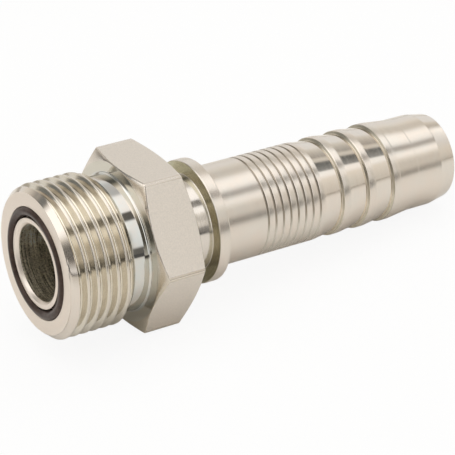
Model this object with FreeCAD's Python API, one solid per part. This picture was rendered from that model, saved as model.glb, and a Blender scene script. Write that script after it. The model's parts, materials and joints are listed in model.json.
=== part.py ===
"""Crimp hose end with a face-seal thread: one turned steel body and one rubber sealing ring.

The fitting is first drawn along its own axis, which is +X here. A station is a place on that axis,
counted from the front sealing face towards the hose tail. The finished pieces are then laid down the
way the fitting comes to rest: on one flat of the hexagon and on the hose tail.
"""
import FreeCAD, Part
import math
import os

# Sizes are in millimetres and angles in degrees.
# Front face, bore and groove for the sealing ring
bore_diameter = 15.0
bore_chamfer = 0.5
face_diameter = 27.7
ring_groove_inner_diameter = 17.76
ring_groove_outer_diameter = 22.06
ring_groove_depth = 1.35
ring_groove_lip = 0.12
ring_section_diameter = 1.78
ring_seat_clearance = 0.01

# Thread, 1 3/16 inch with 12 turns to the inch, and the relief behind it
thread_diameter = 30.16
thread_pitch = 25.4 / 12
thread_depth = 1.25
thread_crest_width = 0.4
thread_flank_angle = 30.0
thread_end_station = 12.1
thread_start_angle = 258.0
relief_diameter = 26.8
relief_fillet = 0.5

# Hexagon
hex_front_station = 17.4
hex_length = 9.6
hex_across_flats = 32.0
hex_face_diameter = 31.6
hex_front_chamfer_angle = 20.5
hex_back_chamfer_angle = 17.0
hex_chamfer_crown = 0.01

# Neck and collar that hold the crimped ferrule
neck_diameter = 19.2
neck_fillet = 0.3
collar_front_station = 33.3
collar_width = 2.5
collar_diameter = 24.8
collar_edge = 0.25

# Hose tail with its fine grooves, barbs and nose
tail_diameter = 20.16
fine_groove_count = 8
fine_groove_first_station = 45.9
fine_groove_pitch = 1.75
fine_groove_width = 0.5
fine_groove_depth = 0.18
barb_count = 3
barb_first_station = 63.7
barb_pitch = 6.16
barb_valley_diameter = 19.0
barb_crest_diameter = 20.24
barb_crest_length = 1.5
barb_rise = 0.2
barb_taper_length = 4.4
pilot_station = 82.9
pilot_diameter = 19.05
nose_station = 88.4
nose_angle = 10.3
overall_length = 92.35
nose_edge = 0.25

# How far cutters reach past what they cut, and how far each turn of the thread's runs on, as a ratio
cutter_reach = 1.0
thread_cutter_reach = 0.2
turn_overlap = 1.02
place_tolerance = 1e-6

axis = FreeCAD.Vector(1, 0, 0)
origin = FreeCAD.Vector(0, 0, 0)


def tan(angle):
    return math.tan(math.radians(angle))


def revolve(points):
    """Solid of revolution about the axis from a closed outline of (station, radius) points."""
    corners = [FreeCAD.Vector(station, 0, radius) for station, radius in points]
    face = Part.Face(Part.makePolygon(corners + [corners[0]]))
    return face.revolve(origin, axis, 360)


def round_edge_at(solid, station, radius, size):
    """Fillets the full circular edge that lies at this station and radius."""
    chosen = []
    for edge in solid.Edges:
        if not isinstance(edge.Curve, Part.Circle):
            continue
        same_place = abs(edge.Curve.Center.x - station) < place_tolerance
        if same_place and abs(edge.Curve.Radius - radius) < place_tolerance:
            chosen.append(edge)
    return solid.makeFillet(size, chosen)


def front_outline():
    """Front face, thread blank and relief, from the axis outwards and back."""
    face_radius = face_diameter / 2
    thread_radius = thread_diameter / 2
    relief_radius = relief_diameter / 2
    chamfer = thread_radius - face_radius
    fall = thread_radius - relief_radius
    return [(0, face_radius), (chamfer, thread_radius), (thread_end_station, thread_radius),
            (thread_end_station + fall, relief_radius), (hex_front_station, relief_radius)]


def thread_turn_cutter(turn):
    """One turn of the helical groove, with 60 degree flanks."""
    thread_radius = thread_diameter / 2
    root_radius = thread_radius - thread_depth
    top_radius = thread_radius + thread_cutter_reach
    gap = thread_pitch - thread_crest_width
    root_half = gap / 2 - thread_depth * tan(thread_flank_angle)
    top_half = gap / 2 + thread_cutter_reach * tan(thread_flank_angle)
    corners = [(root_radius, -root_half), (top_radius, -top_half), (top_radius, top_half),
               (root_radius, root_half)]
    points = [FreeCAD.Vector(radius, 0, along) for radius, along in corners]
    profile = Part.makePolygon(points + [points[0]])
    path = Part.Wire(Part.makeHelix(thread_pitch, thread_pitch * turn_overlap, root_radius))
    cutter = path.makePipeShell([profile], True, True)
    cutter.rotate(origin, FreeCAD.Vector(0, 0, 1), thread_start_angle)
    cutter.rotate(origin, FreeCAD.Vector(0, 1, 0), 90)
    cutter.translate(axis * turn * thread_pitch)
    return cutter


def thread_cutters():
    """The turns of the groove, from in front of the face to the relief."""
    relief_station = front_outline()[-2][0]
    last_turn = math.ceil(relief_station / thread_pitch)
    return [thread_turn_cutter(turn) for turn in range(-1, last_turn)]


hex_back_station = hex_front_station + hex_length
hex_corner_radius = hex_across_flats / 2 / math.cos(math.pi / 6)
hex_flat_end = hex_back_station - (hex_across_flats - hex_face_diameter) / 2 * tan(hex_back_chamfer_angle)


def corner_cutter(face_station, chamfer_angle, direction):
    """Ring outside the slightly crowned cone that trims the hexagon's corners at one of its faces."""
    face_radius = hex_face_diameter / 2
    reach = hex_corner_radius + cutter_reach
    inner_end = face_station + direction * (reach - face_radius) * tan(chamfer_angle)
    start = face_station - direction * cutter_reach
    outline = [(start, reach), (start, face_radius), (face_station, face_radius), (inner_end, reach)]
    corners = [FreeCAD.Vector(station, 0, radius) for station, radius in outline]
    crown = FreeCAD.Vector(-direction, 0, tan(chamfer_angle)).normalize() * hex_chamfer_crown
    middle = (corners[2] + corners[3]) / 2 + crown
    edges = [Part.makeLine(corners[0], corners[1]), Part.makeLine(corners[1], corners[2]),
             Part.Arc(corners[2], middle, corners[3]).toShape(), Part.makeLine(corners[3], corners[0])]
    return Part.Face(Part.Wire(edges)).revolve(origin, axis, 360)


def hexagon():
    """Hexagonal prism with one flat up, its corners cut by a cone at each end."""
    corners = []
    for number in range(6):
        angle = math.radians(30 + 60 * number)
        y = hex_corner_radius * math.sin(angle)
        z = hex_corner_radius * math.cos(angle)
        corners.append(FreeCAD.Vector(hex_front_station, y, z))
    face = Part.Face(Part.makePolygon(corners + [corners[0]]))
    prism = face.extrude(axis * hex_length)
    prism = prism.cut(corner_cutter(hex_front_station, hex_front_chamfer_angle, 1))
    return prism.cut(corner_cutter(hex_back_station, hex_back_chamfer_angle, -1))


def barb_outline():
    """Taper, rise and crest of each barb, and the pilot and nose behind the last one."""
    tail_radius = tail_diameter / 2
    valley_radius = barb_valley_diameter / 2
    crest_radius = barb_crest_diameter / 2
    pilot_radius = pilot_diameter / 2
    points = [(barb_first_station - barb_taper_length, tail_radius)]
    for number in range(barb_count):
        step = barb_first_station + number * barb_pitch
        points.append((step, valley_radius))
        points.append((step + barb_rise, crest_radius))
        points.append((step + barb_rise + barb_crest_length, crest_radius))
    nose_radius = pilot_radius - (overall_length - nose_station) * tan(nose_angle)
    points += [(pilot_station, pilot_radius), (nose_station, pilot_radius)]
    points += [(overall_length - nose_edge, nose_radius + nose_edge * tan(nose_angle))]
    points += [(overall_length, nose_radius - nose_edge)]
    return points


def tail_outline():
    """Neck, collar and hose tail, from the hexagon to the nose."""
    neck_radius = neck_diameter / 2
    collar_radius = collar_diameter / 2
    collar_back = collar_front_station + collar_width
    points = [(hex_back_station, neck_radius), (collar_front_station, neck_radius)]
    points += [(collar_front_station, collar_radius - collar_edge)]
    points += [(collar_front_station + collar_edge, collar_radius)]
    points += [(collar_back - collar_edge, collar_radius), (collar_back, collar_radius - collar_edge)]
    points += [(collar_back, tail_diameter / 2)]
    return points + barb_outline()


def turned_blank():
    """The body before its bore, thread and grooves."""
    front = revolve([(0, 0)] + front_outline() + [(hex_front_station, 0)])
    tail = revolve([(hex_back_station, 0)] + tail_outline() + [(overall_length, 0)])
    body = front.fuse(hexagon()).fuse(tail).removeSplitter()
    body = round_edge_at(body, hex_front_station, relief_diameter / 2, relief_fillet)
    return round_edge_at(body, collar_front_station, neck_diameter / 2, neck_fillet)


def bore_cutter():
    """Through bore with a small chamfer at both ends."""
    radius = bore_diameter / 2
    wide = radius + bore_chamfer + cutter_reach
    end = overall_length + cutter_reach
    return revolve([(-cutter_reach, 0), (-cutter_reach, wide), (bore_chamfer, radius),
                    (overall_length - bore_chamfer, radius), (end, wide), (end, 0)])


def ring_groove_cutter():
    """Square groove in the front face, its outer lip slightly broken."""
    inner = ring_groove_inner_diameter / 2
    outer = ring_groove_outer_diameter / 2
    lip = outer + ring_groove_lip
    return revolve([(-cutter_reach, inner), (-cutter_reach, lip), (0, lip), (ring_groove_lip, outer),
                    (ring_groove_depth, outer), (ring_groove_depth, inner)])


def fine_groove_cutters():
    """Shallow V-shaped rings in the front part of the hose tail."""
    radius = tail_diameter / 2
    half = fine_groove_width / 2
    top_half = half + cutter_reach * half / fine_groove_depth
    cutters = []
    for number in range(fine_groove_count):
        middle = fine_groove_first_station + number * fine_groove_pitch
        cutters.append(revolve([(middle - top_half, radius + cutter_reach),
                                (middle, radius - fine_groove_depth),
                                (middle + top_half, radius + cutter_reach)]))
    return cutters


def fitting_body():
    body = turned_blank()
    for cutter in [bore_cutter(), ring_groove_cutter()] + fine_groove_cutters() + thread_cutters():
        body = body.cut(cutter)
    return body.Solids[0]


def sealing_ring():
    """Round-section ring on the floor of its groove, against the outer wall."""
    section_radius = ring_section_diameter / 2
    middle_radius = ring_groove_outer_diameter / 2 - ring_seat_clearance - section_radius
    station = ring_groove_depth - ring_seat_clearance - section_radius
    return Part.makeTorus(middle_radius, section_radius, FreeCAD.Vector(station, 0, 0), axis)


def resting_tilt():
    """Angle by which the tail drops until it meets the surface that the hexagon's flat edge stands on."""
    height = hex_across_flats / 2
    corners = [(station, radius) for station, radius in barb_outline() if station > hex_flat_end]
    return min(math.degrees(math.atan((height - radius) / (station - hex_flat_end)))
               for station, radius in corners)


def lay_down(pieces):
    """Turns the pieces to their resting pose, with the middle of their footprint at the origin."""
    for piece in pieces:
        piece.rotate(origin, FreeCAD.Vector(0, 1, 0), resting_tilt())
    box = Part.makeCompound(pieces).optimalBoundingBox(False, False)
    shift = FreeCAD.Vector(-(box.XMin + box.XMax) / 2, -(box.YMin + box.YMax) / 2, -box.ZMin)
    for piece in pieces:
        piece.translate(shift)


def main():
    nodes = {"fitting_body": fitting_body(), "face_seal_ring": sealing_ring()}
    lay_down(list(nodes.values()))
    os.makedirs("parts", exist_ok=True)
    for name, shape in nodes.items():
        shape.exportStep(os.path.join("parts", name + ".step"))
        print(name, shape.ShapeType, len(shape.Solids), "solid, volume", round(shape.Volume, 2))
    print("resting tilt", round(resting_tilt(), 4))


main()
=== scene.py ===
"""Hydraulic hose fitting: a turned, plated steel crimp end with a face-seal thread and a rubber ring.

Everything turned is drawn round the fitting's own axis, which is +X while it is made. A station is a place
on that axis, counted from the front sealing face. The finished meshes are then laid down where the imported
model lies.
"""
import json
import math

import bmesh
import bpy
from bpy.props import FloatProperty, FloatVectorProperty, IntProperty, PointerProperty
from mathutils import Matrix, Vector


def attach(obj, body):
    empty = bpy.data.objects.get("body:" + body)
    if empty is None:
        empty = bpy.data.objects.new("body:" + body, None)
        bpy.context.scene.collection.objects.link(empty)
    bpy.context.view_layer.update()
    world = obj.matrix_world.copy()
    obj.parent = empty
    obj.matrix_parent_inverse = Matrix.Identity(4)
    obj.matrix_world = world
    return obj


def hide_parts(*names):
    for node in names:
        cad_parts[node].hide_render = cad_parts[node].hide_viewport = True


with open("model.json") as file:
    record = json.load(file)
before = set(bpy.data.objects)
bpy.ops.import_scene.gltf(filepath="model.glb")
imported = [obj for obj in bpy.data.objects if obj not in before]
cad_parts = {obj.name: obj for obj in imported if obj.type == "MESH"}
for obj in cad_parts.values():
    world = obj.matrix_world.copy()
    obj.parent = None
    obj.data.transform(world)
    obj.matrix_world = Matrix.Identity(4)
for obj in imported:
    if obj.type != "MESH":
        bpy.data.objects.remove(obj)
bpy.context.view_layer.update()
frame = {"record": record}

bl_info = {
    "name": "Hydraulic hose fitting",
    "version": (1, 0, 0),
    "blender": (4, 5, 0),
    "location": "3D View > Sidebar > Fitting",
    "description": "Builds a plated steel hose fitting with its sealing ring and a plain studio",
    "category": "Add Mesh",
}

MM = 0.001
# Two places nearer than this are taken as the same, and a cut has the thickness of CUT_TOLERANCE
TOLERANCE = 1e-6
CUT_TOLERANCE = 1e-7
# Faces in one turn round the axis, and the angle past which an edge is drawn sharp
STEPS_ROUND = 240
SHARP_ANGLE = math.radians(38)

# Smallest rounding on the turned edges
EDGE_BREAK = 0.06 * MM
# Thread: its flanks, the roundings at crest and root, and the cuts that keep a long flank smooth
FLANK_ANGLE = math.radians(30)
CREST_ROUNDING = 0.09 * MM
ROOT_ROUNDING = 0.13 * MM
FLANK_CUTS = 6
SHORTEST_FLANK = 0.5 * MM
SAME_TURN = 0.002 * MM
# The thread's mesh starts this far behind the front face and ends this far behind its full height
THREAD_FRONT_CUT = 0.04 * MM
THREAD_RUN_OUT = 1.4 * MM
# The hexagon starts as a round disc. Its rims lie this far in from the hexagon's faces and out from the
# rim of their flat part.
DISC_INSET = 0.4 * MM
DISC_RISE = 1 * MM


def length(name, description, millimetres):
    """A length property whose default is given in millimetres."""
    return FloatProperty(name=name, description=description, default=millimetres * MM, min=0.0,
                         unit="LENGTH", precision=5)


def degrees(name, description, value):
    """An angle property whose default is given in degrees."""
    return FloatProperty(name=name, description=description, default=math.radians(value), unit="ROTATION")


def colour(name, description, value):
    """A colour property."""
    return FloatVectorProperty(name=name, description=description, default=value, size=3,
                               subtype="COLOR", min=0.0, max=1.0)


class FittingSizes(bpy.types.PropertyGroup):
    """Sizes of the turned body and its sealing ring"""

    bore_diameter: length("Bore", "Diameter of the bore through the fitting", 15.0)
    bore_chamfer: length("Bore chamfer", "Chamfer at both ends of the bore", 0.5)
    face_diameter: length("Front face", "Diameter of the front sealing face", 27.7)
    groove_inner_diameter: length("Ring groove, inner", "Inner diameter of the ring's groove", 17.76)
    groove_outer_diameter: length("Ring groove, outer", "Outer diameter of the ring's groove", 22.06)
    groove_depth: length("Ring groove depth", "Depth of the sealing ring's groove", 1.35)
    groove_lip: length("Ring groove lip", "Chamfer on the groove's outer lip", 0.12)
    ring_section_diameter: length("Ring section", "Thickness of the sealing ring", 1.78)
    ring_seat_clearance: length("Ring clearance", "Gap between the ring and its groove", 0.01)
    thread_diameter: length("Thread", "Outer diameter of the thread", 30.16)
    thread_root_diameter: length("Thread root", "Diameter at the bottom of the thread", 27.66)
    thread_pitch: length("Thread pitch", "Distance from one turn of the thread to the next", 25.4 / 12)
    thread_crest_width: length("Thread crest", "Width of the thread's flat crest", 0.4)
    thread_end_station: length("Thread end", "Station where the thread's full height ends", 12.1)
    thread_start_angle: degrees("Thread start", "Turns the start of the thread round the axis", 258.0)
    relief_diameter: length("Relief", "Diameter of the relief behind the thread", 26.8)
    relief_fillet: length("Relief fillet", "Fillet between the relief and the hexagon", 0.5)
    hex_front_station: length("Hexagon front", "Station of the hexagon's front face", 17.4)
    hex_length: length("Hexagon length", "Length of the hexagon along the axis", 9.6)
    hex_across_flats: length("Hexagon width", "Hexagon across its flats", 32.0)
    hex_face_diameter: length("Hexagon face", "Diameter of the flat part of the hexagon's faces", 31.6)
    hex_front_chamfer: degrees("Hexagon front chamfer", "Slope of the cone on the front corners", 20.5)
    hex_back_chamfer: degrees("Hexagon back chamfer", "Slope of the cone on the back corners", 17.0)
    hex_edge: length("Hexagon edge", "Width of the small bevel on the hexagon's edges", 0.17)
    neck_diameter: length("Neck", "Diameter of the neck between hexagon and collar", 19.2)
    neck_fillet: length("Neck fillet", "Fillet between the neck and the collar", 0.3)
    collar_front_station: length("Collar front", "Station of the collar's front face", 33.3)
    collar_width: length("Collar width", "Width of the collar along the axis", 2.5)
    collar_diameter: length("Collar", "Diameter of the collar", 24.8)
    collar_edge: length("Collar edge", "Rounding of the collar's rims", 0.25)
    tail_diameter: length("Hose tail", "Diameter of the plain hose tail", 20.16)
    fine_groove_count: IntProperty(name="Fine grooves", description="Number of fine grooves in the tail",
                                   default=8, min=0)
    fine_groove_first_station: length("First fine groove", "Station of the first fine groove", 45.9)
    fine_groove_pitch: length("Fine groove pitch", "Distance between the fine grooves", 1.75)
    fine_groove_width: length("Fine groove width", "Width of a fine groove", 0.5)
    fine_groove_depth: length("Fine groove depth", "Depth of a fine groove", 0.18)
    barb_count: IntProperty(name="Barbs", description="Number of barbs on the tail", default=3, min=1)
    barb_first_station: length("First barb", "Station of the first barb's step", 63.7)
    barb_pitch: length("Barb pitch", "Distance between the barbs", 6.16)
    barb_valley_diameter: length("Barb valley", "Smallest diameter in front of a barb's step", 19.0)
    barb_crest_diameter: length("Barb crest", "Diameter of a barb's crest", 20.24)
    barb_crest_length: length("Barb crest length", "Length of a barb's crest", 1.5)
    barb_rise: length("Barb rise", "Length over which a barb's step rises", 0.2)
    barb_taper_length: length("Barb taper", "Length of the taper down to the first step", 4.4)
    pilot_station: length("Pilot", "Station where the plain pilot starts", 82.9)
    pilot_diameter: length("Pilot diameter", "Diameter of the plain pilot", 19.05)
    nose_station: length("Nose", "Station where the nose starts", 88.4)
    nose_angle: degrees("Nose angle", "Slope of the nose", 10.3)
    nose_edge: length("Nose edge", "Edge at the end of the nose", 0.25)
    overall_length: length("Length", "Overall length of the fitting along its axis", 92.35)


class FittingFinish(bpy.types.PropertyGroup):
    """Colours of the plating and the rubber"""

    plating: colour("Plating", "Colour of the bright zinc plating", (0.76, 0.682, 0.605))
    plating_drift: colour("Plating, second tint", "Tint that drifts faintly over the plating",
                          (0.748, 0.693, 0.626))
    crests: colour("Thread crests", "Colour of the flat thread crests", (0.70, 0.64, 0.565))
    flanks: colour("Thread flanks", "Colour of the plating down in the thread", (0.755, 0.700, 0.605))
    face: colour("Front face", "Colour of the turned front face", (0.84, 0.75, 0.665))
    # Partly painted shade: the hexagon's turned faces take the plating's colour made darker and more olive,
    # for the thread's shade in front of them and what they mirror
    washer: colour("Hexagon face", "Colour of the hexagon's turned faces", (0.64, 0.605, 0.525))
    # Painted shade and painted reflection: the collar's front face looks at the hexagon's back across the
    # narrow neck, and its dark olive colour stands in for that
    collar_face_shade: colour("Collar face", "Colour of the collar's yellowish front face", (0.54, 0.51, 0.37))
    relief: colour("Relief", "Colour of the polished relief behind the thread", (0.68, 0.64, 0.59))
    relief_drift: colour("Relief, second tint", "Cooler tint on the relief", (0.64, 0.66, 0.635))
    # Painted shade: the fine grooves are dark down inside, and painted light makes them pale on the lower
    # side
    grooves: colour("Fine grooves", "Colour down in the fine grooves", (0.33, 0.28, 0.22))
    grooves_lower_side_light: colour("Fine grooves, lower side", "Colour of the fine grooves on the lower side",
                          (0.66, 0.62, 0.55))
    # Painted shade and reflection: the barbs' steps are dark on the upper side, and painted light makes them
    # pale on the lower side
    steps: colour("Barb steps", "Colour of the barbs' steps", (0.50, 0.455, 0.365))
    steps_lower_side_light: colour("Barb steps, lower side", "Colour of the barbs' steps on the lower side",
                        (0.92, 0.86, 0.72))
    neck: colour("Neck", "Colour of the clean neck behind the hexagon", (0.72, 0.665, 0.605))
    flats: colour("Hexagon flats", "Colour of the drawn and plated hexagon flats", (0.775, 0.715, 0.648))
    # Painted shade: the hexagon's cones are darker and olive on the lower side, where they mirror the floor
    # in the fitting's shadow
    cones_lower_side_shade: colour("Hexagon cones, lower side", "Colour of the hexagon's cones on the lower side",
                        (0.655, 0.585, 0.475))
    # Painted light and shade in the bore: its colour is brighter than the plating, standing in for light deep
    # in the bore, and darker low down
    bore: colour("Bore", "Colour of the bore", (1.0, 0.93, 0.785))
    bore_lower_side_shade: colour("Bore, lower side", "Colour low down in the bore", (0.64, 0.59, 0.485))
    rubber: colour("Rubber", "Colour of the sealing ring", (0.022, 0.014, 0.011))
    rubber_worn: colour("Rubber, dusty", "Lighter tint on the sealing ring", (0.070, 0.046, 0.037))
    rubber_sheen: colour("Rubber sheen", "Tint of what the sealing ring mirrors", (1.0, 0.72, 0.62))


class StudioSettings(bpy.types.PropertyGroup):
    """Camera and surroundings"""

    camera_place: FloatVectorProperty(name="Camera", description="Place of the camera", size=3,
                                      subtype="TRANSLATION", unit="LENGTH",
                                      default=(-0.1888272, -0.3185486, 0.2329820))
    camera_aim: FloatVectorProperty(name="Aim", description="Point in the middle of the picture", size=3,
                                    subtype="TRANSLATION", unit="LENGTH",
                                    default=(-0.0036869, -0.0004639, 0.0108626))
    camera_roll: degrees("Roll", "Turns the camera about its line of sight", -4.51253)
    camera_lens: FloatProperty(name="Lens", description="Focal length in millimetres", default=172.35,
                               min=1.0)
    floor_near: colour("Floor", "Colour of the pale floor near the fitting", (0.93, 0.92, 0.90))
    floor_far: colour("Floor, far", "Colour of the floor further away", (0.76, 0.74, 0.70))
    floor_reach: length("Floor reach", "Distance at which the floor has its far colour", 230.0)
    floor_dark: colour("Floor, dark", "Colour of the floor past the table, on the left", (0.10, 0.10, 0.10))
    floor_dim: colour("Floor, dim", "Colour of the floor past the table, on the right", (0.50, 0.47, 0.43))
    table_left: length("Table, left", "How far the pale table reaches to the left", 205.0)
    table_front: length("Table, front", "How far the pale table reaches to the front", 165.0)
    table_fade: length("Table, fade", "Width over which the table turns dark", 70.0)
    floor_size: length("Floor size", "Width of the floor", 6000.0)


def sizes():
    return bpy.context.scene.fitting_sizes


def finish():
    return bpy.context.scene.fitting_finish


def mount(name):
    """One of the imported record's mounts."""
    return next(m for m in frame["record"]["mounts"] if m["name"] == name)


def fitting_matrix():
    """Matrix that lays a mesh made round +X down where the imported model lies."""
    bore = mount("through_bore")
    along = Vector(bore["axis"]).normalized()
    front = Vector(bore["pos_m"]) - along * sizes().overall_length / 2
    turned = along.to_track_quat("X", "Z").to_matrix().to_4x4()
    return Matrix.Translation(front) @ turned


def place_of(vertex):
    """Station, radius and angle from the top, in the making frame."""
    x, y, z = vertex.co
    return x, math.hypot(y, z), math.atan2(-y, z)


def set_place(vertex, station, radius):
    """Moves a vertex to this station and radius and keeps its angle."""
    angle = place_of(vertex)[2]
    vertex.co = (station, -math.sin(angle) * radius, math.cos(angle) * radius)


def outline(bm, points, segments=3):
    """Open outline of (station, radius, rounding) points, each corner rounded by that much."""
    verts = [bm.verts.new((station, 0.0, radius)) for station, radius, rounding in points]
    edges = [bm.edges.new(pair) for pair in zip(verts, verts[1:])]
    chain = set(verts)
    for vert, point in zip(verts, points):
        if point[2] > 0:
            made = bmesh.ops.bevel(bm, geom=[vert], offset=point[2], offset_type="OFFSET",
                                   segments=segments, profile=0.5, affect="VERTICES", clamp_overlap=True,
                                   material=-1)
            chain.discard(vert)
            chain.update(made["verts"])
    chain = [vert for vert in chain if vert.is_valid]
    edges = list({edge for vert in chain for edge in vert.link_edges})
    return chain + edges


def spin_round(bm, geometry, advance=0.0):
    """Spins an outline once round the axis, as a turn of thread if each step also advances along it."""
    bmesh.ops.spin(bm, geom=geometry, cent=(0, 0, 0), axis=(1, 0, 0), dvec=(advance, 0, 0),
                   angle=math.tau, space=Matrix.Identity(4), steps=STEPS_ROUND, use_merge=advance == 0.0,
                   use_normal_flip=False, use_duplicate=False)


def thread_outline(bm, s):
    """One turn of the thread, from the middle of a groove to the middle of the next."""
    crest = s.thread_diameter / 2
    root = s.thread_root_diameter / 2
    gap = s.thread_pitch - s.thread_crest_width
    root_half = gap / 2 - (crest - root) * math.tan(FLANK_ANGLE)
    start = -(math.pi + s.thread_start_angle) / math.tau * s.thread_pitch - s.thread_pitch
    points = [(start, root, 0), (start + root_half, root, ROOT_ROUNDING),
              (start + gap / 2, crest, CREST_ROUNDING),
              (start + gap / 2 + s.thread_crest_width, crest, CREST_ROUNDING),
              (start + s.thread_pitch - root_half, root, ROOT_ROUNDING), (start + s.thread_pitch, root, 0)]
    geometry = outline(bm, points, segments=2)
    flanks = [edge for edge in geometry
              if isinstance(edge, bmesh.types.BMEdge) and edge.calc_length() > SHORTEST_FLANK]
    bmesh.ops.subdivide_edges(bm, edges=flanks, cuts=FLANK_CUTS)
    return start, list(bm.verts) + list(bm.edges)


def join_mesh(bm, other):
    """Adds another tree of faces to this one."""
    carrier = bpy.data.meshes.new("carrier")
    other.to_mesh(carrier)
    other.free()
    bm.from_mesh(carrier)
    bpy.data.meshes.remove(carrier)


def make_thread(s, front_cut, back_cut):
    """Helical thread between two stations, trimmed by the chamfer in front and the fall to the relief."""
    bm = bmesh.new()
    start, geometry = thread_outline(bm, s)
    spin_round(bm, geometry, advance=s.thread_pitch / STEPS_ROUND)
    first_turn = list(bm.verts) + list(bm.edges) + list(bm.faces)
    for number in range(1, math.ceil((back_cut - start) / s.thread_pitch) + 1):
        copied = bmesh.ops.duplicate(bm, geom=first_turn)["geom"]
        verts = [item for item in copied if isinstance(item, bmesh.types.BMVert)]
        bmesh.ops.translate(bm, verts=verts, vec=(number * s.thread_pitch, 0, 0))
    bmesh.ops.remove_doubles(bm, verts=bm.verts, dist=SAME_TURN)
    for station, inner in ((front_cut, True), (back_cut, False)):
        everything = list(bm.verts) + list(bm.edges) + list(bm.faces)
        bmesh.ops.bisect_plane(bm, geom=everything, dist=CUT_TOLERANCE, plane_co=(station, 0, 0),
                               plane_no=(1, 0, 0), clear_inner=inner, clear_outer=not inner)
    face_radius = s.face_diameter / 2
    for vert in bm.verts:
        station, radius, angle = place_of(vert)
        chamfer = face_radius + station
        fall = s.thread_diameter / 2 - max(0.0, station - s.thread_end_station)
        set_place(vert, station, min(radius, chamfer, fall))
    return bm


def body_points(s, back_cut):
    """Outline of the body from the front face's rim through the bore and back along the outside."""
    face = s.face_diameter / 2
    inner = s.groove_inner_diameter / 2
    outer = s.groove_outer_diameter / 2
    bore = s.bore_diameter / 2
    end = s.overall_length
    pilot = s.pilot_diameter / 2
    slope = math.tan(s.nose_angle)
    nose = pilot - (end - s.nose_station) * slope
    soft = EDGE_BREAK
    points = [(0, face, 0), (0, outer + s.groove_lip, soft), (s.groove_lip, outer, soft),
              (s.groove_depth, outer, 2 * soft), (s.groove_depth, inner, 2 * soft), (0, inner, soft),
              (0, bore + s.bore_chamfer, soft), (s.bore_chamfer, bore, 3 * soft),
              (end - s.bore_chamfer, bore, soft), (end, bore + s.bore_chamfer, soft),
              (end, nose - s.nose_edge, 2 * soft),
              (end - s.nose_edge, nose + s.nose_edge * slope, 2 * soft),
              (s.nose_station, pilot, 4 * soft), (s.pilot_station, pilot, 4 * soft)]
    crest = s.barb_crest_diameter / 2
    tail = s.tail_diameter / 2
    for number in reversed(range(s.barb_count)):
        step = s.barb_first_station + number * s.barb_pitch
        points += [(step + s.barb_rise + s.barb_crest_length, crest, 5 * soft),
                   (step + s.barb_rise, crest, 1.5 * soft), (step, s.barb_valley_diameter / 2, soft)]
    points += [(s.barb_first_station - s.barb_taper_length, tail, 5 * soft)]
    half = s.fine_groove_width / 2
    for number in reversed(range(s.fine_groove_count)):
        middle = s.fine_groove_first_station + number * s.fine_groove_pitch
        points += [(middle + half, tail, soft), (middle, tail - s.fine_groove_depth, soft),
                   (middle - half, tail, soft)]
    collar = s.collar_diameter / 2
    neck = s.neck_diameter / 2
    collar_back = s.collar_front_station + s.collar_width
    hex_back = s.hex_front_station + s.hex_length
    hex_face = s.hex_face_diameter / 2
    relief = s.relief_diameter / 2
    fall_end = s.thread_end_station + (s.thread_diameter - s.relief_diameter) / 2
    points += [(collar_back, tail, 2 * soft), (collar_back, collar, s.collar_edge),
               (s.collar_front_station, collar, s.collar_edge),
               (s.collar_front_station, neck, s.neck_fillet), (hex_back, neck, 3 * soft),
               (hex_back, hex_face, 0), (hex_back - DISC_INSET, hex_face + DISC_RISE, 0),
               (s.hex_front_station + DISC_INSET, hex_face + DISC_RISE, 0),
               (s.hex_front_station, hex_face, 0), (s.hex_front_station, relief, s.relief_fillet),
               (fall_end, relief, 3 * soft),
               (back_cut + soft, s.thread_diameter / 2 - (back_cut + soft - s.thread_end_station), 0)]
    return points


def shape_hexagon(bm, s):
    """Moves the disc's two rims out or in to the hexagon's flats and bevels the hexagon's edges."""
    hex_back = s.hex_front_station + s.hex_length
    hex_face = s.hex_face_diameter / 2
    third = math.pi / 3
    rings = {True: set(), False: set()}
    for vert in bm.verts:
        station, radius, angle = place_of(vert)
        front = station < (s.hex_front_station + hex_back) / 2
        if abs(radius - hex_face - DISC_RISE) > TOLERANCE or not s.hex_front_station < station < hex_back:
            continue
        across = (angle + third / 2) % third - third / 2
        flat = s.hex_across_flats / 2 / math.cos(across)
        if front:
            station = s.hex_front_station + (flat - hex_face) * math.tan(s.hex_front_chamfer)
        else:
            station = hex_back - (flat - hex_face) * math.tan(s.hex_back_chamfer)
        set_place(vert, station, flat)
        rings[front].add(vert)
    corner = s.hex_across_flats / 2 / math.cos(third / 2)
    edges = []
    for edge in bm.edges:
        a, b = edge.verts
        on_ring = any(a in ring and b in ring for ring in rings.values())
        at_corner = all(place_of(v)[1] > corner - TOLERANCE for v in edge.verts)
        if on_ring or at_corner:
            edges.append(edge)
    bmesh.ops.bevel(bm, geom=edges, offset=s.hex_edge, offset_type="OFFSET", segments=2, profile=0.5,
                    affect="EDGES", clamp_overlap=True, material=-1)


def ring_edges(bm, station):
    """Boundary edges at a station."""
    return [edge for edge in bm.edges if edge.is_boundary
            and all(abs(vert.co.x - station) < TOLERANCE for vert in edge.verts)]


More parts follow.
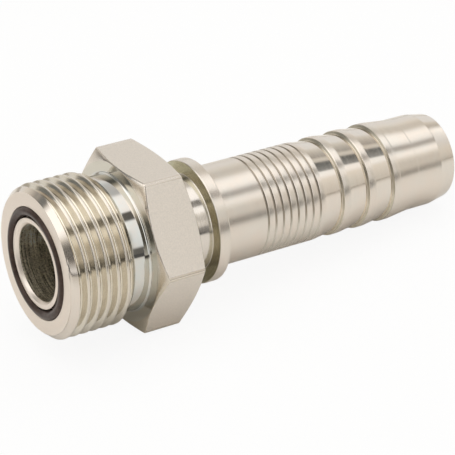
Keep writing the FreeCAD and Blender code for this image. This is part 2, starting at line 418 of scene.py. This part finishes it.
def finish_number(face, s):
    """Which finish a face of the body has, from its place and from how far it looks away from the axis."""
    near = 0.02 * MM
    middle = face.calc_center_median()
    station, radius = middle.x, math.hypot(middle.y, middle.z)
    outward = Vector((0, middle.y, middle.z)).normalized().dot(face.normal)
    hex_back = s.hex_front_station + s.hex_length
    thread_end = s.thread_end_station + 1.2 * MM
    front_chamfer_end = 1.3 * MM
    if radius < s.bore_diameter / 2 + near:
        return BORE
    if station < s.groove_depth and radius < s.face_diameter / 2 - 0.01 * MM:
        return FRONT_FACE
    if s.hex_front_station < station < hex_back and radius > s.hex_face_diameter / 2:
        sixth = math.pi / 6
        across = (math.atan2(-face.normal.y, face.normal.z) + sixth) % (2 * sixth) - sixth
        return FLATS if outward > 0.8 and abs(across) < math.radians(2) else CHAMFER
    if station < thread_end:
        on_flank = radius < s.thread_diameter / 2 - 0.05 * MM and outward < 0.9
        in_root = radius < s.thread_root_diameter / 2 + 0.1 * MM
        if station < front_chamfer_end:
            return BEVELS
        return FLANKS if on_flank or in_root else THREAD
    if min(abs(station - s.hex_front_station), abs(station - hex_back)) < near:
        return WASHER
    if station < s.hex_front_station:
        return RELIEF
    if abs(station - s.collar_front_station) < near:
        return COLLAR_FACE
    if station < s.collar_front_station:
        return NECK
    if station > s.nose_station + 0.1 * MM:
        return BEVELS
    if station > s.barb_first_station - s.barb_taper_length:
        past = (station - s.barb_first_station + s.barb_pitch) % s.barb_pitch
        last = station > s.barb_first_station + (s.barb_count - 1) * s.barb_pitch
        if past < s.barb_rise + near and outward < 0.5 and station < s.pilot_station:
            return STEPS
        if past < s.barb_rise + s.barb_crest_length and outward > 0.995 and station < s.pilot_station:
            return TAIL
        return PILOT if last else BARBS
    groove = (station - s.fine_groove_first_station + s.fine_groove_pitch / 2) % s.fine_groove_pitch
    in_groove = abs(groove - s.fine_groove_pitch / 2) < s.fine_groove_width / 2 and outward < 0.93
    return GROOVES if in_groove and station > s.fine_groove_first_station - s.fine_groove_width else TAIL


def lay_down(bm, name, materials):
    """Turns the finished mesh into an object that rides with the fitting."""
    bmesh.ops.transform(bm, matrix=fitting_matrix(), verts=bm.verts)
    mesh = bpy.data.meshes.new(name)
    bm.to_mesh(mesh)
    bm.free()
    mesh.shade_smooth()
    mesh.set_sharp_from_angle(angle=SHARP_ANGLE)
    for material in materials:
        mesh.materials.append(material)
    piece = bpy.data.objects.new(name, mesh)
    bpy.context.scene.collection.objects.link(piece)
    weighted = piece.modifiers.new("flat faces stay flat", "WEIGHTED_NORMAL")
    weighted.keep_sharp = True
    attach(piece, "root")
    return piece


class Nodes:
    """Short way to add and join the nodes of one tree."""

    def __init__(self, tree):
        self.tree = tree
        tree.nodes.clear()

    def add(self, kind, **values):
        node = self.tree.nodes.new(kind)
        for key, value in values.items():
            setattr(node, key, value)
        return node

    def link(self, source, target):
        self.tree.links.new(source, target)

    def feed(self, socket, value):
        """Joins a socket, or sets a constant on it."""
        if isinstance(value, bpy.types.NodeSocket):
            self.link(value, socket)
        else:
            socket.default_value = value

    def maths(self, operation, *values, clamp=False):
        node = self.add("ShaderNodeMath", operation=operation, use_clamp=clamp)
        for socket, value in zip(node.inputs, values):
            self.feed(socket, value)
        return node.outputs[0]

    def dot(self, vector, constant):
        node = self.add("ShaderNodeVectorMath", operation="DOT_PRODUCT")
        self.feed(node.inputs[0], vector)
        node.inputs[1].default_value = constant
        return node.outputs["Value"]

    def combine(self, x, y, z):
        node = self.add("ShaderNodeCombineXYZ")
        for socket, value in zip(node.inputs, (x, y, z)):
            self.feed(socket, value)
        return node.outputs[0]

    def noise(self, vector, scale, detail=2.0, roughness=0.5):
        node = self.add("ShaderNodeTexNoise")
        self.feed(node.inputs["Vector"], vector)
        node.inputs["Scale"].default_value = scale
        node.inputs["Detail"].default_value = detail
        node.inputs["Roughness"].default_value = roughness
        return node.outputs["Fac"]

    def ramp(self, factor, stops, interpolation="LINEAR"):
        node = self.add("ShaderNodeValToRGB")
        node.color_ramp.interpolation = interpolation
        elements = node.color_ramp.elements
        while len(elements) > 1:
            elements.remove(elements[-1])
        for number, (place, value) in enumerate(stops):
            element = elements[0] if number == 0 else elements.new(place)
            element.position = place
            level = value if isinstance(value, tuple) else (value,) * 3
            element.color = (*level, 1.0)
        self.feed(node.inputs["Fac"], factor)
        return node.outputs["Color"]

    def mix(self, factor, a, b):
        node = self.add("ShaderNodeMix", data_type="RGBA")
        self.feed(node.inputs["Factor"], factor)
        for socket, value in ((node.inputs["A"], a), (node.inputs["B"], b)):
            self.feed(socket, value)
        return node.outputs["Result"]

    def span(self, value, low, high, to_low, to_high):
        """Takes a value from between low and high to between two others, and no further."""
        node = self.add("ShaderNodeMapRange")
        for socket, number in zip(node.inputs, (value, low, high, to_low, to_high)):
            self.feed(socket, number)
        return node.outputs[0]

    def rise(self, value, low, high):
        """0 up to low and 1 from high on."""
        return self.span(value, low, high, 0.0, 1.0)

    def fall(self, value, low, high):
        """1 up to low and 0 from high on."""
        return self.span(value, low, high, 1.0, 0.0)

    def times(self, a, b):
        return self.maths("MULTIPLY", a, b)


def round_axis(n):
    """Station, radius and angle of a shaded point round the fitting's axis, in metres and radians."""
    matrix = fitting_matrix()
    origin = matrix.translation
    place = n.add("ShaderNodeTexCoord").outputs["Object"]
    shifted = n.add("ShaderNodeVectorMath", operation="SUBTRACT")
    n.feed(shifted.inputs[0], place)
    shifted.inputs[1].default_value = origin
    x, y, z = (n.dot(shifted.outputs[0], matrix.col[number].to_3d()) for number in range(3))
    radius = n.maths("SQRT", n.maths("ADD", n.times(y, y), n.times(z, z)))
    angle = n.maths("ARCTAN2", n.times(y, -1.0), z)
    return x, radius, angle, place


def rgba(value):
    return (*value, 1.0)


# Scale of the patches in which the plating's tint drifts, the angles from the top between which the colour
# of a lower side comes in (painted light and shade on that side), and how dense lathe lines are across a
# face, as a ratio to those along the fitting
DRIFT_SCALE = 260.0
LOWER_SIDE = (math.radians(84), math.radians(98))
FACING_CUT = 0.7


def plated(name, warm, drift, roughness, spread=1.2, grain=0.0004, grain_scale=9000.0, lines=0.0004,
           lines_scale=9000.0, streak=0.00004, shade=(0.96, 1.02), lean=None, under=None):
    """Zinc plated steel: tinted, with a fine grain and lathe lines or short streaks round the axis.

    A finish with a lean mirrors as if its slope along the axis were that many degrees to the front. The
    colour under is painted light and shade on the lower side.
    """
    material = bpy.data.materials.new(name)
    material.use_nodes = True
    n = Nodes(material.node_tree)
    station, radius, angle, place = round_axis(n)
    shader = n.add("ShaderNodeBsdfPrincipled")
    shader.inputs["Metallic"].default_value = 1.0
    tint = n.mix(n.rise(n.noise(place, DRIFT_SCALE, 3.0, 0.6), 0.38, 0.66), rgba(warm), rgba(drift))
    # Painted light and shade: a lower side gets its own colour
    if under:
        tint = n.mix(n.rise(n.maths("ABSOLUTE", angle), *LOWER_SIDE), tint, rgba(under))
    turned = n.combine(n.maths("ADD", station, n.times(radius, FACING_CUT)), n.times(angle, streak), 0.0)
    rings = n.noise(turned, lines_scale, 2.0, 0.6)
    fine = n.noise(place, grain_scale, 3.0, 0.6)
    mottle = n.maths("ADD", n.times(fine, 0.5), n.times(rings, 0.5))
    scaled = n.add("ShaderNodeVectorMath", operation="SCALE")
    n.feed(scaled.inputs[0], tint)
    n.feed(scaled.inputs["Scale"], n.span(mottle, 0.38, 0.62, *shade))
    n.feed(shader.inputs["Base Color"], scaled.outputs[0])
    n.feed(shader.inputs["Roughness"], n.span(rings, 0.35, 0.65, roughness / spread, roughness * spread))
    bump = n.add("ShaderNodeBump")
    bump.inputs["Strength"].default_value = 1.0
    bump.inputs["Distance"].default_value = MM
    n.feed(bump.inputs["Height"], n.maths("ADD", n.times(rings, lines), n.times(fine, grain)))
    if lean is not None:
        axis = fitting_matrix().col[0].to_3d()
        facing = n.add("ShaderNodeNewGeometry").outputs["Normal"]
        along = n.add("ShaderNodeVectorMath", operation="PROJECT")
        n.feed(along.inputs[0], facing)
        along.inputs[1].default_value = axis
        across = n.add("ShaderNodeVectorMath", operation="SUBTRACT")
        n.feed(across.inputs[0], facing)
        n.feed(across.inputs[1], along.outputs[0])
        tipped = n.add("ShaderNodeVectorMath", operation="SUBTRACT")
        n.feed(tipped.inputs[0], across.outputs[0])
        tipped.inputs[1].default_value = axis * math.tan(math.radians(lean))
        outward = n.add("ShaderNodeVectorMath", operation="NORMALIZE")
        n.feed(outward.inputs[0], tipped.outputs[0])
        n.feed(bump.inputs["Normal"], outward.outputs[0])
    n.feed(shader.inputs["Normal"], bump.outputs[0])
    out = n.add("ShaderNodeOutputMaterial")
    n.link(shader.outputs[0], out.inputs["Surface"])
    return material


(THREAD, FLANKS, FRONT_FACE, RELIEF, WASHER, FLATS, CHAMFER, BORE, NECK, COLLAR_FACE, TAIL, BARBS,
 PILOT, BEVELS, GROOVES, STEPS) = range(16)


def body_materials():
    """The finishes of the body, in the order of their numbers."""
    f = finish()
    warm, drift = f.plating, f.plating_drift
    return [
        plated("plated thread crests", f.crests, f.crests, 0.22, spread=1.3, grain=0.0004, lines=0.0009,
               streak=0.0005),
        plated("plated thread flanks", f.flanks, f.flanks, 0.10, spread=1.4, grain=0.0004,
               grain_scale=7000.0, lines=0.0010, lines_scale=7000.0, streak=0.0006, shade=(0.88, 1.04)),
        plated("plated front face", f.face, f.face, 0.38, grain=0.0010, grain_scale=6500.0, lines=0.0010,
               lines_scale=7000.0),
        plated("plated relief", f.relief, f.relief_drift, 0.045, grain=0.0, lines=0.0001,
               shade=(0.99, 1.01)),
        # The hexagon's faces: plating colour darkened as painted shade
        plated("plated washer face", f.washer, f.washer, 0.07, grain=0.0001, lines=0.0003,
               shade=(0.97, 1.02)),
        plated("plated hexagon flats", f.flats, f.flats, 0.46, grain=0.0075, grain_scale=3600.0, lines=0.0,
               lines_scale=3600.0, streak=0.01, shade=(0.93, 1.05)),
        # The chamfers' lower side gets painted shade
        plated("plated hexagon chamfers", warm, drift, 0.20, grain=0.0006, lines=0.0010,
               under=f.cones_lower_side_shade),
        # The bore's colour is painted light, and its lower side is painted shade
        plated("bore", f.bore, f.bore, 0.36, spread=1.5, grain=0.0008, grain_scale=3000.0, lines=0.0080,
               lines_scale=3200.0, streak=0.0003, shade=(0.42, 1.50), under=f.bore_lower_side_shade),
        plated("plated neck", f.neck, f.neck, 0.13, spread=1.3, lines=0.0014, lines_scale=5000.0,
               streak=0.0008, lean=8.0),
        # The collar face's dark olive colour is painted shade and painted reflection of the hexagon's back
        plated("plated collar face", f.collar_face_shade, f.collar_face_shade, 0.20, grain=0.0004, lines=0.0010,
               lines_scale=6000.0, streak=0.0006, shade=(0.90, 1.05)),
        plated("plated tail", warm, drift, 0.26, spread=1.02, grain=0.0001, lines=0.0006),
        plated("plated barbs", warm, drift, 0.11, spread=1.35, grain=0.0001, lines=0.0050,
               lines_scale=3000.0, streak=0.0004),
        plated("plated pilot", warm, drift, 0.22, spread=1.06, grain=0.0001, lines=0.0004, streak=0.0003,
               lean=0.0),
        plated("plated bevels", warm, drift, 0.12, spread=1.2, grain=0.0001, lines=0.0006, streak=0.0003),
        # Painted shade in the fine grooves, with painted light on their lower side
        plated("plated fine grooves", f.grooves, f.grooves, 0.30, under=f.grooves_lower_side_light),
        # Painted shade on the barbs' steps, with painted light on their lower side
        plated("plated barb steps", f.steps, f.steps, 0.30, under=f.steps_lower_side_light),
    ]


def rubber_material():
    """Satin black rubber with a faint dusty bloom."""
    f = finish()
    material = bpy.data.materials.new("sealing ring rubber")
    material.use_nodes = True
    n = Nodes(material.node_tree)
    place = n.add("ShaderNodeTexCoord").outputs["Object"]
    shader = n.add("ShaderNodeBsdfPrincipled")
    bloom = n.rise(n.noise(place, 700.0, 4.0, 0.6), 0.4, 0.75)
    n.feed(shader.inputs["Base Color"], n.mix(bloom, rgba(f.rubber), rgba(f.rubber_worn)))
    shader.inputs["Specular Tint"].default_value = rgba(f.rubber_sheen)
    n.feed(shader.inputs["Roughness"], n.span(n.noise(place, 2500.0, 3.0), 0.3, 0.7, 0.30, 0.40))
    bump = n.add("ShaderNodeBump")
    bump.inputs["Strength"].default_value = 1.0
    bump.inputs["Distance"].default_value = MM
    n.feed(bump.inputs["Height"], n.times(n.noise(place, 5000.0, 3.0), 0.004))
    n.feed(shader.inputs["Normal"], bump.outputs[0])
    out = n.add("ShaderNodeOutputMaterial")
    n.link(shader.outputs[0], out.inputs["Surface"])
    return material


class FITTING_OT_body(bpy.types.Operator):
    """Builds the turned steel body with its thread, hexagon, collar and barbed tail"""

    bl_idname = "fitting.body"
    bl_label = "Turned body"

    def execute(self, context):
        s = sizes()
        bm = bmesh.new()
        back_cut = s.thread_end_station + THREAD_RUN_OUT
        outline(bm, body_points(s, back_cut))
        spin_round(bm, list(bm.verts) + list(bm.edges))
        shape_hexagon(bm, s)
        join_mesh(bm, make_thread(s, THREAD_FRONT_CUT, back_cut))
        bmesh.ops.bridge_loops(bm, edges=ring_edges(bm, 0.0) + ring_edges(bm, THREAD_FRONT_CUT))
        bmesh.ops.bridge_loops(bm, edges=ring_edges(bm, back_cut) + ring_edges(bm, back_cut + EDGE_BREAK))
        bmesh.ops.recalc_face_normals(bm, faces=bm.faces)
        for face in bm.faces:
            face.material_index = finish_number(face, s)
        piece = lay_down(bm, "turned_body", body_materials())
        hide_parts("fitting_body")
        return {"FINISHED"}


class FITTING_OT_ring(bpy.types.Operator):
    """Builds the rubber sealing ring in its groove"""

    bl_idname = "fitting.ring"
    bl_label = "Sealing ring"

    def execute(self, context):
        s = sizes()
        bm = bmesh.new()
        section = s.ring_section_diameter / 2
        station = s.groove_depth - s.ring_seat_clearance - section
        radius = s.groove_outer_diameter / 2 - s.ring_seat_clearance - section
        upright = Matrix.Translation((station, 0, radius)) @ Matrix.Rotation(math.pi / 2, 4, "X")
        bmesh.ops.create_circle(bm, segments=40, radius=section, matrix=upright)
        spin_round(bm, list(bm.verts) + list(bm.edges))
        bmesh.ops.recalc_face_normals(bm, faces=bm.faces)
        piece = lay_down(bm, "sealing_ring", [rubber_material()])
        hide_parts("face_seal_ring")
        return {"FINISHED"}


# Level ways over the floor: towards the table's left end and its front end, towards where what lies past
# the table is only dim, and towards where the front end begins. FLOOR_WHITE is how white the camera sees
# the floor.
TABLE_LEFT_WAY, TABLE_FRONT_WAY = (-1, 0.8, 0), (0, -1, 0)
TABLE_RIGHT_WAY, TABLE_AHEAD_WAY = (1, 0.75, 0), (1, -0.6, 0)
FLOOR_WHITE = 0.90


def floor_material(studio):
    """Pale floor that shows white to the camera and keeps a soft shadow, dark past the table's edges."""
    material = bpy.data.materials.new("pale floor")
    material.use_nodes = True
    n = Nodes(material.node_tree)
    matte = n.add("ShaderNodeBsdfDiffuse")
    place = n.add("ShaderNodeTexCoord").outputs["Object"]
    away = n.add("ShaderNodeVectorMath", operation="LENGTH")
    n.feed(away.inputs[0], place)
    reach, fade = studio.floor_reach, studio.table_fade
    pale = n.mix(n.rise(away.outputs["Value"], reach / 2, reach), rgba(studio.floor_near),
                 rgba(studio.floor_far))
    left = n.rise(n.dot(place, TABLE_LEFT_WAY), studio.table_left, studio.table_left + fade)
    front = n.rise(n.dot(place, TABLE_FRONT_WAY), studio.table_front, studio.table_front + fade)
    right = n.rise(n.dot(place, TABLE_RIGHT_WAY), 0.0, fade)
    beyond = n.mix(right, rgba(studio.floor_dark), rgba(studio.floor_dim))
    ahead = n.rise(n.dot(place, TABLE_AHEAD_WAY), 0.0, fade)
    edge = n.maths("MAXIMUM", left, n.times(front, ahead))
    n.feed(matte.inputs["Color"], n.mix(edge, pale, beyond))
    white = n.add("ShaderNodeEmission")
    white.inputs["Color"].default_value = (1.0, 1.0, 1.0, 1.0)
    white.inputs["Strength"].default_value = 1.0
    both = n.add("ShaderNodeMixShader")
    n.feed(both.inputs[0], n.times(n.add("ShaderNodeLightPath").outputs["Is Camera Ray"], FLOOR_WHITE))
    n.link(matte.outputs[0], both.inputs[1])
    n.link(white.outputs[0], both.inputs[2])
    out = n.add("ShaderNodeOutputMaterial")
    n.link(both.outputs[0], out.inputs["Surface"])
    return material


# Long soft boxes and dark flags beside the fitting, as (degrees round its axis from its top flat towards
# the front of the picture, light, tint)
WARM, PLAIN, COOL = (1.0, 0.96, 0.88), (1.0, 1.0, 0.99), (0.97, 1.0, 0.98)
# Beside the front end
FACE_SIDE = [(-180, 0.85, PLAIN), (-95, 0.85, PLAIN), (-80, 0.88, WARM), (-72, 0.72, WARM),
             (-64, 0.44, WARM), (-57, 0.16, COOL), (-50, 0.17, COOL), (-42, 0.66, WARM),
             (-33, 1.50, PLAIN), (2, 1.50, PLAIN), (14, 1.25, PLAIN), (22, 0.95, WARM), (30, 0.50, WARM),
             (42, 0.17, WARM), (72, 0.15, WARM), (80, 0.40, WARM), (90, 0.7, PLAIN), (94, 0.9, PLAIN),
             (180, 0.9, PLAIN)]
# Straight beside and above the fitting, with a long soft box that starts past its top
ABOVE = [(-180, 0.9, PLAIN), (-92, 0.9, PLAIN), (-70, 0.9, PLAIN), (-58, 0.7, WARM),
         (-46, 0.24, WARM), (-32, 0.20, WARM), (-22, 1.9, PLAIN), (70, 1.9, PLAIN), (90, 0.9, PLAIN),
         (180, 0.9, PLAIN)]
# What the collar and the plain tail mirror
TAIL_SIDE = [(-180, 0.88, PLAIN), (-95, 0.86, PLAIN), (-65, 0.92, PLAIN), (-50, 0.92, WARM),
             (-43, 0.68, WARM), (-25, 0.69, WARM), (-17, 1.22, PLAIN), (-10, 1.36, PLAIN),
             (8, 1.34, PLAIN), (14, 1.24, PLAIN), (17.5, 0.20, WARM), (29, 0.20, WARM), (33, 1.22, PLAIN),
             (43, 1.28, PLAIN), (49, 0.84, WARM), (54, 0.60, WARM), (62, 0.55, WARM), (66, 0.72, WARM),
             (75, 0.72, WARM), (79, 0.22, WARM), (91, 0.20, WARM), (95, 0.90, PLAIN), (180, 0.9, PLAIN)]
# What the relief mirrors
RELIEF_SIDE = [(-180, 0.80, PLAIN), (-107, 0.84, PLAIN), (-88, 0.80, WARM), (-60, 0.90, PLAIN),
               (-50, 0.70, PLAIN), (-28, 0.62, PLAIN), (-22, 0.66, PLAIN), (-16, 1.22, PLAIN),
               (-10, 1.30, PLAIN), (8, 1.26, PLAIN), (14, 1.20, PLAIN), (17.5, 0.15, WARM),
               (29, 0.15, WARM), (33, 1.15, PLAIN), (60, 1.04, PLAIN), (75, 0.94, PLAIN),
               (79, 0.17, WARM), (91, 0.15, WARM), (95, 0.90, PLAIN), (180, 0.9, PLAIN)]
# What the pilot mirrors
PILOT_SIDE = [(-180, 0.80, PLAIN), (-95, 0.86, PLAIN), (-65, 0.94, PLAIN), (-50, 0.95, WARM),
              (-43, 0.78, WARM), (-25, 0.76, WARM), (-17, 1.30, PLAIN), (-10, 1.50, PLAIN),
              (8, 1.52, PLAIN), (15.5, 1.36, PLAIN), (19, 0.44, WARM), (28, 0.44, WARM),
              (32, 1.32, PLAIN), (43, 1.40, PLAIN), (49, 1.02, WARM), (54, 0.80, WARM), (62, 0.70, WARM),
              (75, 0.76, WARM), (79, 0.38, WARM), (91, 0.38, WARM), (95, 0.90, PLAIN), (180, 0.9, PLAIN)]
# What the tapers in front of the barbs' steps mirror
TAPER_SIDE = [(-180, 0.80, PLAIN), (-95, 0.88, PLAIN), (-55, 0.94, PLAIN), (-44, 0.80, WARM),
              (-30, 0.60, WARM), (-18, 0.46, WARM), (-12, 0.80, WARM), (-5, 0.78, WARM), (0, 0.20, COOL),
              (5, 0.18, COOL), (23, 0.34, COOL), (26, 1.20, PLAIN), (36, 1.20, PLAIN), (45, 0.98, WARM),
              (60, 0.86, WARM), (78, 0.76, WARM), (95, 0.74, WARM), (180, 0.9, PLAIN)]
# What the nose mirrors
NOSE_SIDE = [(-180, 0.80, PLAIN), (-95, 0.90, PLAIN), (-65, 0.86, PLAIN), (-55, 0.78, WARM),
             (-38, 0.68, WARM), (-28, 1.28, PLAIN), (-20, 1.50, PLAIN), (-4, 1.22, PLAIN),
             (8, 1.06, PLAIN), (25, 0.88, PLAIN), (50, 0.86, WARM), (66, 0.80, WARM), (80, 0.66, WARM),
             (95, 0.70, WARM), (180, 0.9, PLAIN)]
# Straight ahead of the sealing face, where the thread's flanks look, as (how far ahead, from 1 straight
# ahead to 0 across the axis, light, tint)
AHEAD = [(0.0, 0.85, PLAIN), (0.47, 0.62, WARM), (0.52, 0.38, WARM), (0.56, 0.22, COOL),
         (0.755, 0.22, COOL), (0.80, 1.05, PLAIN), (0.84, 1.70, PLAIN), (0.915, 1.80, PLAIN),
         (0.938, 1.30, PLAIN), (0.948, 0.07, COOL), (0.975, 0.07, COOL), (0.982, 0.66, PLAIN),
         (1.0, 0.66, PLAIN)]
BRIGHTEST = 2.0
# Where these follow FACE_SIDE along the fitting, from the front to the tail. A direction's place is its dot
# product with the axis: each table comes in over the first pair of places, and goes out over the second.
ZONES = [(ABOVE, (-0.20, -0.08), None), (TAIL_SIDE, (0.12, 0.20), None),
         (RELIEF_SIDE, (0.34, 0.38), (0.445, 0.455)), (PILOT_SIDE, (0.515, 0.535), None),
         (TAPER_SIDE, (0.60, 0.64), None), (NOSE_SIDE, (0.765, 0.775), None)]
# The part of the front that AHEAD takes from FACE_SIDE: a sector round the axis and all that is nearly
# straight ahead. There it is dark below a small height.
AHEAD_SECTOR_IN = (math.radians(-98), math.radians(-94))
AHEAD_SECTOR_OUT = (math.radians(-44), math.radians(-40))
AHEAD_START = (0.46, 0.50)
STRAIGHT_AHEAD = (0.925, 0.935)
DARK_AHEAD, DARK_HEIGHT = (0.93, 0.95), (0.02, 0.03)
DARK = (0.04, 0.04, 0.04, 1.0)


def make_world():
    """Studio surroundings: white to the camera, soft boxes and flags along the fitting to the metal."""
    world = bpy.data.worlds.new("studio")
    world.use_nodes = True
    bpy.context.scene.world = world
    n = Nodes(world.node_tree)
    matrix = fitting_matrix()
    way = n.add("ShaderNodeTexCoord").outputs["Generated"]
    x, y, z = (n.dot(way, matrix.col[number].to_3d()) for number in range(3))
    angle = n.maths("ARCTAN2", n.times(y, -1.0), z)
    around = n.rise(angle, -math.pi, math.pi)

    def glow(light, tint):
        return tuple(light * part / BRIGHTEST for part in tint)

    def strips(stops):
        return n.ramp(around, [((place + 180) / 360, glow(light, tint)) for place, light, tint in stops])

    ahead = n.times(x, -1.0)
    sector = n.times(n.rise(angle, *AHEAD_SECTOR_IN), n.fall(angle, *AHEAD_SECTOR_OUT))
    straight = n.maths("MAXIMUM", sector, n.rise(ahead, *STRAIGHT_AHEAD))
    front = n.ramp(ahead, [(place, glow(light, tint)) for place, light, tint in AHEAD])
    up = n.add("ShaderNodeSeparateXYZ")
    n.feed(up.inputs[0], way)
    low = n.times(n.fall(up.outputs["Z"], *DARK_HEIGHT), n.rise(ahead, *DARK_AHEAD))
    front = n.mix(low, front, DARK)
    light = n.mix(n.times(straight, n.rise(ahead, *AHEAD_START)), strips(FACE_SIDE), front)
    for boxes, come_in, go_out in ZONES:
        zone = n.rise(x, *come_in)
        if go_out:
            zone = n.times(zone, n.fall(x, *go_out))
        light = n.mix(zone, light, strips(boxes))
    room = n.add("ShaderNodeBackground")
    n.feed(room.inputs["Color"], light)
    room.inputs["Strength"].default_value = BRIGHTEST
    white = n.add("ShaderNodeBackground")
    white.inputs["Color"].default_value = (1.0, 1.0, 1.0, 1.0)
    white.inputs["Strength"].default_value = 1.0
    ray = n.add("ShaderNodeLightPath")
    both = n.add("ShaderNodeMixShader")
    n.feed(both.inputs[0], ray.outputs["Is Camera Ray"])
    n.link(room.outputs[0], both.inputs[1])
    n.link(white.outputs[0], both.inputs[2])
    out = n.add("ShaderNodeOutputWorld")
    n.link(both.outputs[0], out.inputs["Surface"])


class FITTING_OT_studio(bpy.types.Operator):
    """Builds the pale floor, the studio light and the camera"""

    bl_idname = "fitting.studio"
    bl_label = "Studio"

    def execute(self, context):
        studio = context.scene.fitting_studio
        bm = bmesh.new()
        bmesh.ops.create_grid(bm, x_segments=1, y_segments=1, size=studio.floor_size / 2)
        mesh = bpy.data.meshes.new("floor")
        bm.to_mesh(mesh)
        bm.free()
        mesh.materials.append(floor_material(studio))
        floor = bpy.data.objects.new("floor", mesh)
        context.scene.collection.objects.link(floor)
        make_world()
        camera = bpy.data.cameras.new("camera")
        camera.sensor_width = 36.0
        camera.lens = studio.camera_lens
        camera.clip_start, camera.clip_end = 0.01, 20.0
        holder = bpy.data.objects.new("camera", camera)
        context.scene.collection.objects.link(holder)
        sight = Vector(studio.camera_aim) - Vector(studio.camera_place)
        level = sight.to_track_quat("-Z", "Y").to_matrix().to_4x4()
        holder.matrix_world = (Matrix.Translation(studio.camera_place) @ level
                               @ Matrix.Rotation(studio.camera_roll, 4, "Z"))
        context.scene.camera = holder
        context.scene.view_settings.view_transform = "Standard"
        return {"FINISHED"}


class FITTING_PT_panel(bpy.types.Panel):
    """Sizes, finishes and the buttons that build the fitting"""

    bl_idname = "FITTING_PT_panel"
    bl_label = "Hose fitting"
    bl_space_type = "VIEW_3D"
    bl_region_type = "UI"
    bl_category = "Fitting"

    def draw(self, context):
        layout = self.layout
        for operator in OPERATORS:
            layout.operator(operator.bl_idname)
        scene = context.scene
        for group in (scene.fitting_sizes, scene.fitting_finish, scene.fitting_studio):
            box = layout.box()
            for name in group.bl_rna.properties.keys():
                if name not in ("rna_type", "name"):
                    box.prop(group, name)


OPERATORS = (FITTING_OT_studio, FITTING_OT_body, FITTING_OT_ring)
GROUPS = {"fitting_sizes": FittingSizes, "fitting_finish": FittingFinish, "fitting_studio": StudioSettings}


def register():
    for group in (*GROUPS.values(), *OPERATORS, FITTING_PT_panel):
        bpy.utils.register_class(group)
    for name, group in GROUPS.items():
        setattr(bpy.types.Scene, name, PointerProperty(type=group))


def unregister():
    for name in GROUPS:
        delattr(bpy.types.Scene, name)
    for group in (FITTING_PT_panel, *reversed(OPERATORS), *reversed(GROUPS.values())):
        bpy.utils.unregister_class(group)


def main():
    register()
    bpy.ops.fitting.studio()
    bpy.ops.fitting.body()
    bpy.ops.fitting.ring()


if __name__ == "__main__":
    main()
